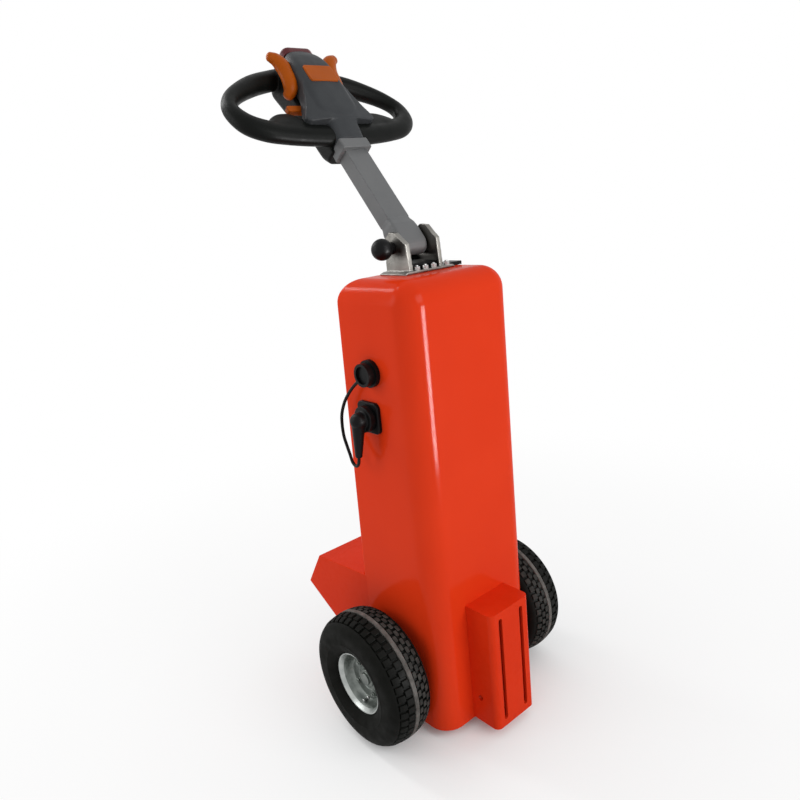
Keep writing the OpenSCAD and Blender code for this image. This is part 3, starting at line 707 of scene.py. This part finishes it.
# wheels: tyre with lugs and a worn centre seam, pressed rim, bolts and valve
wheel = {"radius": 132, "out": 192.5, "steps": 144, "rimSteps": 96,
         "lugs": 46, "lugDepth": 7.5, "lugLean": 0.12, "lugDraft": 0.8, "fill": 0.66, "ease": 0.6,
         "crown": [(0, 132), (3.4, 132), (16, 130.8), (27.8, 128.5), (36, 124.3), (41.8, 119.4),
                   (45.6, 111.5), (47.7, 102)],
         "carcass": [(0, 127.4), (9, 127), (16, 126.1), (24, 124.7), (30, 122.9), (35.4, 120.4),
                     (36.8, 123.7), (39.6, 121.5), (41.8, 119.2), (44, 115.4), (45.6, 111.3),
                     (46.9, 106.5), (47.6, 101), (47.8, 92), (47.4, 85.8), (47.95, 84.8), (47.95, 83.2),
                     (47.2, 82.2), (45.2, 75), (41.5, 68), (37.5, 63.2), (34.5, 62.2), (30.6, 62.2),
                     (30.6, 56.2)],
         "innerBlocks": [(6.2, 13.8, 0), (15.4, 23.6, 0.5), (25.2, 34.6, 0)],
         "outerBlocks": [(6.2, 19.8, 0), (21, 34.6, 0.35)], "wornTo": 35, "wornDeep": 1.4,
         "seamHalf": 4.6, "seamDeep": 8, "seamEase": (0.8, 0.7),
         "rim": [(17.9, 12), (23, 12), (25, 13.2), (39, 13.2), (42, 11.6), (45, 12.2), (47.5, 15.5),
                 (49.6, 20.5), (51, 25), (53.5, 29.4), (56.5, 33.6), (59, 36), (61, 36.2), (62, 34.8),
                 (61.6, 33), (58.4, 31.8), (56.1, 30)], "flangeFrom": 52.5,
         "boltRing": 32, "boltCount": 4, "boltTurn": 0.6, "boltFoot": 13,
         "bolt": {"across": 9.5, "height": 4, "washer": 6.4, "stem": 2},
         "valveAt": 46, "valveFoot": 11, "valveTurn": 1.5,
         "valve": [(0, 0), (3.4, 0), (3.2, 5), (2.2, 6), (2.2, 9), (2.8, 9.4), (2.8, 15), (2.2, 15.7),
                   (0, 15.9)]}


def rowAt(rows, x):
    if x <= rows[0][0]:
        return rows[0][1]
    for (x0, v0), (x1, v1) in zip(rows, rows[1:]):
        if x <= x1:
            return v0 + (v1 - v0) * (x - x0) / (x1 - x0)
    return rows[-1][1]


def lugShape(w, span, side, turn, cells=2):
    # one tread block that follows the crown
    wide = w["fill"] * pi / w["lugs"]
    draft = w["lugDraft"] / w["radius"]
    rings = []
    for i in range(cells + 1):
        y = span[0] + (span[1] - span[0]) * i / cells
        top = rowAt(w["crown"], y)
        low = top - w["lugDepth"]
        rings.append([(r * cos(turn + a) * mm, side * y * mm, r * sin(turn + a) * mm)
                      for r, a in ((low, -wide - draft), (top, -wide), (top, wide), (low, wide + draft))])
    bm = loft(rings)
    hard = [e for e in bm.edges if e.calc_face_angle(0) > radians(40)]
    bmesh.ops.bevel(bm, geom=hard, offset=w["ease"] * mm, segments=1, affect="EDGES")
    return bm


def makeTyre(w, side, label, body, place):
    step = 2 * pi / w["lugs"]
    cell = gather([lugShape(w, (y0, y1), s, (at + w["lugLean"] * s) * step)
                   for s, rows in ((1, w["outerBlocks"]), (-1, w["innerBlocks"])) for y0, y1, at in rows])
    lugs = ringOf("tyreLugs" + label, cell, w["lugs"], 0.0, tyreRubber, place)
    half = w["carcass"]
    profile = [(r, y) for y, r in half] + [(r, -y) for y, r in half[:0:-1]]
    carcass = revolve(profile, w["steps"], place)
    tyre = fromBmesh("tyre" + label, gather([carcass, takeMesh(lugs)]), tyreRubber)
    tyre.data.materials.append(treadWorn)
    for p in tyre.data.polygons:
        d = (p.center - place.translation) / mm
        inner = 0 < -side * d.y < w["wornTo"]  # the half towards the body keeps its grey block tops
        out = sqrt(d.x ** 2 + d.z ** 2) > rowAt(w["crown"], abs(d.y)) - w["wornDeep"]
        p.material_index = int(inner and out)
    crisp(tyre)
    ready(tyre, body, "tyre_rubber", "tyre_" + label.lower())
    h, r, low = w["seamHalf"], w["radius"], w["radius"] - w["seamDeep"]
    down, across = w["seamEase"]
    band = [(low, -h), (r - down, -h), (r, across - h), (r, h - across), (r - down, h), (low, h)]
    seam = fromBmesh("tyreSeam" + label, revolve(band, w["steps"], place), seamRubber)
    crisp(seam)
    ready(seam, body, "tyre_rubber")


def makeRim(w, label, body, place):
    face = w["rim"]
    profile = face + [(r, -y) for r, y in face[::-1]]
    rim = fromBmesh("rim" + label, revolve(profile, w["rimSteps"], place), zincPlate)
    rim.data.materials.append(flangeZinc)
    # the flange takes the bright copy of the zinc and the dish the dark one: painted reflection
    for p in rim.data.polygons:
        d = p.center - place.translation
        p.material_index = int(sqrt(d.x ** 2 + d.z ** 2) > w["flangeFrom"] * mm)
    crisp(rim, 30)
    ready(rim, body, "zinc", "rim_" + label.lower())
    at = Matrix.Translation(Vector((w["boltRing"], w["boltFoot"], 0)) * mm)
    bolt = hexBolt(at, **w["bolt"])
    bolts = ringOf("rimBolts" + label, bolt, w["boltCount"], w["boltTurn"], zincPlate, place)
    crisp(bolts, 30)
    ready(bolts, body, "zinc")
    at = Matrix.Translation(Vector((w["valveAt"], w["valveFoot"], 0)) * mm)
    at = place @ Matrix.Rotation(w["valveTurn"], 4, "Y") @ at
    valve = fromBmesh("valve" + label, revolve(w["valve"], 20, at, closed=False), boltZinc)
    crisp(valve, 30)
    ready(valve, body, "zinc")
    hub = softCopy("hub_" + label.lower(), "hub" + label, zincPlate, 0.8)
    ready(hub, body, "zinc", "hub_" + label.lower())


def makeWheel(w, side, label):
    body = "wheel_" + label.lower()
    place = Matrix.Translation(Vector((axleX, side * w["out"], w["radius"])) * mm)
    if side < 0:
        place = place @ Matrix.Rotation(pi, 4, "Z")  # the outer face looks away from the body
    makeTyre(w, side, label, body, place)
    makeRim(w, label, body, place)


makeWheel(wheel, 1, "Left")
makeWheel(wheel, -1, "Right")
print("wheels made")

# tiller: n is ahead of the arm, y across and s along it
tiller = {"pivot": (axleX + 5, 930), "lean": 39}


def alongTiller(n, y, s):
    a = radians(tiller["lean"])
    return Vector((n * cos(a) - s * sin(a), y, n * sin(a) + s * cos(a)))


def onTiller(n, y, s):
    return (Vector((tiller["pivot"][0], 0, tiller["pivot"][1])) + alongTiller(n, y, s)) * mm


def tillerPiece(ob, slotName, *nodes):
    ready(ob, "tiller", slotName, *nodes)


# arm foot: a casting that swells round the pivot
foot = {"boss": 18, "half": 29, "ease": 3, "corner": 5, "voxel": 1.1, "rounds": 9,
        "neck": [(-8, 17, 27.5), (-3, 18.8, 29), (4, 19, 29), (24, 19.4, 29), (38, 18.4, 28), (47, 16, 26),
                 (55, 15.1, 25.1)]}


def makeFoot(f):
    at = Matrix.Translation(onTiller(0, 0, 0))
    h, r, e = f["half"], f["boss"], f["ease"]
    boss = revolve([(0, -h), (r - e, -h), (r, e - h), (r, h - e), (r - e, h), (0, h)], 48, at, closed=False)
    neck = loft([[onTiller(a, b, s) for a, b in roundRect(hn, hy, f["corner"], 5)]
                 for s, hn, hy in f["neck"]])
    tillerPiece(mould("armFoot", [boss, neck], greyPaint, f["voxel"], f["rounds"]), "grey_paint", "arm_foot")


makeFoot(foot)
tillerPiece(softCopy("tiller_arm", "tillerArm", greyPaint, width=2.5, segments=3), "grey_paint", "tiller_arm")
collar = {"middle": 4.1, "halfDeep": 19.9, "halfWide": 33, "low": 214, "high": 236, "corner": 4, "ease": 1.6}


def makeCollar(k):
    bm = slabOf(lambda a, b, h: onTiller(k["middle"] + a, b, h), k["halfDeep"], k["halfWide"], k["corner"],
                k["low"], k["high"], k["ease"], True)
    tillerPiece(crisp(fromBmesh("armCollar", bm, greyPaint)), "grey_paint", "arm_collar")


makeCollar(collar)

# head: rows give half widths and depths by the share of its length
head = {"start": 236, "length": 222, "split": -2, "ease": 0.035, "voxel": 1.5, "rounds": 16,
        "baseFrom": -0.036, "baseCorner": 17, "baseCrown": 1, "coverCorner": 15, "coverCrown": 1.2,
        "baseWide": [(-0.036, 38), (0.29, 38), (0.43, 52), (0.88, 52), (0.96, 40), (1, 34)],
        "baseBack": [(-0.036, -34), (0.045, -44), (0.5, -48), (0.855, -60), (0.945, -58), (1, -46)],
        "coverWide": [(0, 33), (0.2, 34), (0.225, 38), (0.29, 50), (0.45, 47.5), (0.63, 44), (0.775, 44),
                      (0.88, 40), (0.955, 35), (1, 31)],
        "coverFront": [(0, 24), (0.135, 30), (0.27, 35), (0.5, 39.5), (0.56, 41), (0.765, 41), (0.88, 37),
                       (0.955, 31), (1, 24)],
        "flare": [(0.18, 30), (0.18, 70), (0.205, 78), (0.24, 77), (0.33, 66), (0.43, 57), (0.53, 50),
                  (0.6, 44), (0.62, 30)], "flareDeep": (8, 34), "droop": 7, "droopFrom": 46, "droopOver": 34}
# loop rows: share of the half width, share of the half length, flat radius and deep radius
grip = {"halfWide": 193, "halfLong": 100, "tube": 16, "middle": (-12, 359), "tilt": 9.5, "sides": 28,
        "voxel": 1.7, "rounds": 16,
        "rows": [(0.155, 0.84, 1.25, 1.16), (0.28, 0.78, 1.25, 1.19), (0.57, 0.58, 1.22, 1.19),
                 (0.835, 0.27, 1.06, 1.03), (0.97, -0.02, 0.95, 0.94), (1, -0.3, 1, 1),
                 (0.94, -0.61, 1.25, 1.09), (0.8, -0.8, 1.45, 1.06), (0.62, -0.9, 1.45, 1.03),
                 (0.42, -0.96, 1.45, 1.03), (0.155, -1, 1.5, 1.06)],
        "shoulder": [(0.74, -0.83, 1.35, 0.98), (0.68, -0.79, 1.9, 1), (0.6, -0.765, 2.35, 1.02),
                     (0.53, -0.76, 2.52, 1), (0.455, -0.77, 2.5, 1), (0.38, -0.85, 2.1, 1),
                     (0.3, -0.93, 1.7, 1.02), (0.155, -1, 1.5, 1.06)]}


def upHead(x):
    return head["start"] + x * head["length"]


def eased(rows, x):
    return sum(rowAt(rows, x + head["ease"] * k / 3) for k in range(-3, 4)) / 7


def headLoft(wide, far, x0, corner, crown, steps=40):
    rings = []
    for i in range(steps + 1):
        x = x0 + (1 - x0) * i / steps
        w, f = eased(wide, x), eased(far, x) - head["split"]
        side, d = (1 if f > 0 else -1), abs(f)
        r = min(corner, 0.75 * d, 0.6 * w)
        turn = [(d - r + r * sin(t), r * cos(t) - r) for t in (radians(90 * k / 8) for k in range(9))]
        near = [(0, -w)] + [(n, -w - c) for n, c in turn]
        edge = near + [(d + crown, 0)] + [(n, -y) for n, y in near[::-1]]
        rings.append([onTiller(head["split"] + side * n, y, upHead(x)) for n, y in edge])
    return loft(rings)


def flareBm(h):
    half = [(upHead(x), y) for x, y in h["flare"]]
    outline = half + [(s, -y) for s, y in half[::-1]]
    sag = [h["droop"] * max(0, abs(y) - h["droopFrom"]) / h["droopOver"] for s, y in outline]
    return loft([[onTiller(n - g, y, s) for (s, y), g in zip(outline, sag)] for n in h["flareDeep"]])


def gripBm(g, side):
    t = radians(g["tilt"])
    rows = []
    for out, along, flat, deep in g["rows"]:
        z = along * g["halfLong"]
        p = onTiller(g["middle"][0] - z * sin(t), side * out * g["halfWide"], g["middle"][1] + z * cos(t))
        rows.append((*p, deep * g["tube"] * mm, flat * g["tube"] * mm))
    return tube(rows, 8, g["sides"], alongTiller(cos(t), 0, sin(t)))


def shoulderBm(g, side):
    t = radians(g["tilt"])
    rings = []
    for out, along, flat, deep in smoothLine(g["shoulder"], 5):
        ring = []
        for k in range(g["sides"]):
            a = 2 * pi * k / g["sides"]
            z = along * g["halfLong"] + flat * g["tube"] * cos(a)
            n = deep * g["tube"] * sin(a)
            ring.append(onTiller(g["middle"][0] + n * cos(t) - z * sin(t), side * out * g["halfWide"],
                                 g["middle"][1] + n * sin(t) + z * cos(t)))
        rings.append(ring)
    return loft(rings)


def makeHead(h, g):
    black = [headLoft(h["baseWide"], h["baseBack"], h["baseFrom"], h["baseCorner"], h["baseCrown"])]
    black += [make(g, side) for make in (gripBm, shoulderBm) for side in (1, -1)]
    gripBody = mould("gripBody", black, gripBlack, g["voxel"], g["rounds"])
    tillerPiece(gripBody, "black_plastic", "head_base", "loop_handle")
    grey = [headLoft(h["coverWide"], h["coverFront"], 0, h["coverCorner"], h["coverCrown"]), flareBm(h)]
    shell = mould("headCover", grey, shellGrey, h["voxel"], h["rounds"])
    tillerPiece(shell, "grey_plastic", "head_cover")


makeHead(head, grip)

# thumb levers, panel, pads and tip cap; lever rows give n, y, share of the head and two radii
lever = {"rows": [(22.5, 73, 0.93, 8.5, 10), (21.5, 63, 0.905, 11, 13.5), (19, 55, 0.86, 12, 16),
                  (16, 51, 0.79, 11.5, 16.5), (13.5, 51.5, 0.71, 11.5, 16), (7.5, 56, 0.63, 10.5, 13.5),
                  (-1, 62, 0.595, 8.5, 10)], "cap": 0.8}
panel = {"from": 0.560, "to": 0.738, "half": 32, "low": 39, "top": 44, "corner": 5, "ease": 1.6}
pad = {"from": 0.39, "to": 0.455, "near": 52, "far": 86, "deep": 6, "corner": 4, "ease": 2}
tipCap = {"middle": -7, "halfDeep": 34, "halfWide": 35.5, "corner": 15, "sunk": 5, "high": 13, "ease": 8}


def headSpan(k):
    # middle and half length of a stretch of the head
    return upHead((k["from"] + k["to"]) / 2), (k["to"] - k["from"]) * head["length"] / 2


def makeLevers(k):
    bms = []
    for side in (1, -1):
        rows = [(*onTiller(n, side * y, upHead(x)), ra * mm, rb * mm) for n, y, x, ra, rb in k["rows"]]
        bms.append(tube(rows, per=8, sides=24, ref=alongTiller(1, 0, 0), cap=k["cap"]))
    tillerPiece(fromBmesh("thumbLevers", gather(bms), thumbOrange), "orange_plastic", "thumb_levers")


def makePanel(k):
    middle, half = headSpan(k)
    bm = slabOf(lambda a, b, h: onTiller(h, a, middle + b), k["half"], half, k["corner"], k["low"], k["top"],
                k["ease"])
    tillerPiece(crisp(fromBmesh("rockerPanel", bm, thumbOrange)), "orange_plastic", "rocker_panel")


def makePads(k):
    middle, half = headSpan(k)
    out, halfOut = (k["near"] + k["far"]) / 2, (k["far"] - k["near"]) / 2
    bms = [slabOf(lambda a, b, h: onTiller(h, side * out + a, middle + b), halfOut, half, k["corner"],
                  -k["deep"], k["deep"], k["ease"], True) for side in (1, -1)]
    tillerPiece(crisp(fromBmesh("sidePads", gather(bms), thumbOrange)), "orange_plastic", "side_pads")


def makeTipCap(k):
    bm = slabOf(lambda a, b, h: onTiller(k["middle"] + a, b, upHead(1) + h), k["halfDeep"], k["halfWide"],
                k["corner"], -k["sunk"], k["high"], k["ease"])
    tillerPiece(crisp(fromBmesh("bellyButton", bm, maroonCap), 60), "maroon_plastic", "belly_button")


makeLevers(lever)
makePanel(panel)
makePads(pad)
makeTipCap(tipCap)
print("tiller made")

# tiller bracket: a casting of a foot and two cheeks, a black stop pad between them that also stands as
# painted shade in the hollow under the arm foot, and the battery gauge
bracket = {"foot": [(884, -20, 50, -54, 66), (886, -20, 50, -54, 66), (889, -18, 50, -47, 62)],
           "far": [(-16, 886), (47, 886), (43, 940), (19, 963), (2, 965), (-16, 951)],
           "near": [(-16, 886), (46, 886), (41, 936), (15, 955), (0, 957), (-14, 945)],
           "farSpan": (31, 40), "nearSpan": (-41, -31), "voxel": 1.0, "rounds": 5,
           "pad": [(-16, 887), (34, 887), (34, 900), (-9, 903), (-11, 911), (-16, 911)], "padHalf": 30.5,
           "padEase": 1.2, "gaugeAt": (18, 84), "gaugeHalf": (16, 17), "gaugeSpan": (884, 890.5),
           "gaugeCorner": 2, "gaugeEase": 1.4}


def blockOf(x, y, hx, hy, low, high, r, ease):
    # an upright rounded block about a place on the body
    return slabOf(lambda a, b, h: Vector((x + axleX + a, y + b, h)) * mm, hx, hy, r, low, high, ease)


def makeBracket(k):
    base = loft([[Vector((x + axleX, y, z)) * mm for x, y in ((x0, y0), (x1, y0), (x1, y1), (x0, y1))]
                 for z, x0, x1, y0, y1 in k["foot"]])
    cheeks = [prism(k["far"], *k["farSpan"]), prism(k["near"], *k["nearSpan"])]
    cast = mould("tillerBracket", [base] + cheeks, bracketSteel, k["voxel"], k["rounds"])
    ready(cast, "frame", "bracket_steel", "tiller_bracket")
    # the black stop pad is partly a stop block and partly painted shade for the hollow under the arm foot
    pad = fromBmesh("stopPad", prism(k["pad"], -k["padHalf"], k["padHalf"]), plugBlack)
    ready(softEdges(pad, k["padEase"]), "frame", "black_plastic")
    bm = blockOf(*k["gaugeAt"], *k["gaugeHalf"], *k["gaugeSpan"], k["gaugeCorner"], k["gaugeEase"])
    ready(crisp(fromBmesh("batteryGauge", bm, plugBlack)), "frame", "black_plastic", "battery_gauge")


makeBracket(bracket)

# bracket bolts and castor nuts
bracketBolts = {"bolt": {"across": 10, "height": 5.4, "washer": 6.3, "stem": 2}, "turn": pi / 2,
                "places": [(42.5, y, 888.6) for y in (-20, 0, 20, 52)]}
castorNuts = {"bolt": {"across": 11, "height": 5, "washer": 7, "stem": 2}, "turn": -pi / 2,
              "places": [(x, y, 99) for x in (-169, -231) for y in (32, -32)]}


def makeFasteners(name, k):
    bolt = hexBolt(Matrix.Rotation(k["turn"], 4, "X"), **k["bolt"])
    points = [(axleX + x, y, z) for x, y, z in k["places"]]
    ready(crisp(copiesOf(name, pointTree, bolt, points, boltZinc), 30), "frame", "zinc")


makeFasteners("bracketBolts", bracketBolts)
makeFasteners("castorNuts", castorNuts)

# charge socket and plug
socket = {"corner": 11, "sunk": 1, "out": 7, "ease": 2.6}
plug = {"voxel": 1.1, "rounds": 8}


def makeSocket(c, k):
    x, z = c["socket"]
    half = c["socketW"] / 2
    bm = slabOf(lambda a, b, h: Vector((x + axleX + a, sideY - h, z + b)) * mm, half, half, k["corner"],
                -k["sunk"], k["out"], k["ease"])
    ob = crisp(fromBmesh("chargeSocket", bm, plugBlack))
    ready(ob, "frame", "black_plastic", "charge_socket")


def makePlug(k):
    ob = mould("chargePlug", [copyOf("charge_plug", flat=False)], plugBlack, k["voxel"], k["rounds"])
    ready(ob, "frame", "black_plastic", "charge_plug")


makeSocket(charge, socket)
makePlug(plug)

# tail box, its sides lapped over the heel of the cover
tail = {"lap": 12, "side": 128.15, "inner": 125.5, "ease": 1.6,
        "join": (-83.4, 292), "topBack": (-243, 278), "lip": (-298, 196), "low": (-91.2, 69.9)}


def makeTail(t):
    rise = (t["join"][1] - t["topBack"][1]) / (t["join"][0] - t["topBack"][0])
    fall = (t["low"][1] - t["lip"][1]) / (t["low"][0] - t["lip"][0])
    edge = [(t["join"][0] + t["lap"], t["join"][1] + rise * t["lap"]), t["topBack"], t["lip"],
            (t["low"][0] + t["lap"], t["low"][1] + fall * t["lap"])]
    sides = [prism(edge, t["inner"], t["side"]), prism(edge, -t["side"], -t["inner"])]
    ob = softEdges(fromBmesh("tailBox", gather([copyOf("tail_box")] + sides), tailPaint), t["ease"])
    ready(ob, "frame", "red_paint", "tail_box")


makeTail(tail)

# a plate that closes the foot of the hitch box, seen through its slots
hitchFloor = {"back": 130.5, "front": 187, "half": 46.5, "low": 24, "high": 27, "corner": 4, "ease": 0.6}


def makeHitchFloor(k):
    middle, half = (k["back"] + k["front"]) / 2, (k["front"] - k["back"]) / 2
    bm = blockOf(middle, 0, half, k["half"], k["low"], k["high"], k["corner"], k["ease"])
    ob = crisp(fromBmesh("hitchFloor", bm, tailPaint))
    ready(ob, "frame", "red_paint")


makeHitchFloor(hitchFloor)

# the remaining solids, with their edges eased
easedNodes = (("chassis_plate", "chassisPlate", tailPaint, 1.0, "frame", "red_paint"),
              ("hitch_box", "hitchBox", tailPaint, 1.4, "frame", "red_paint"),
              ("castor_seat", "castorSeat", tailPaint, 0.8, "frame", "red_paint"),
              ("axle_housing", "axleHousing", castIron, 1.5, "frame", "gear_casting"),
              ("axle_saddles", "axleSaddles", greyPaint, 0.8, "frame", "grey_paint"),
              ("castor_plate", "castorPlate", zincPlate, 0.8, "frame", "zinc"),
              ("tiller_pin", "tillerPin", boltZinc, 1.0, "frame", "zinc"),
              ("lock_knob", "lockKnob", plugBlack, 1.0, "frame", "black_plastic"),
              ("cord_gland", "cordGland", plugBlack, 1.3, "frame", "black_plastic"),
              ("castor_fork", "castorFork", zincPlate, 0.6, "castor", "zinc"),
              ("castor_axle", "castorAxle", boltZinc, 0.6, "castor", "zinc"),
              ("castor_hub", "castorHub", plugBlack, 0.5, "castor_wheel", "black_plastic"),
              ("castor_tyre", "castorTyre", castorTread, 0.8, "castor_wheel", "castor_rubber"))
for nodeName, name, mat, width, body, slotName in easedNodes:
    ready(softCopy(nodeName, name, mat, width), body, slotName, nodeName)
for nodeName, mat in (("battery_pack", batteryCase), ("drive_motor", castIron)):
    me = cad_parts[nodeName].data
    me.materials.clear()
    me.materials.append(mat)
print("pieces placed")
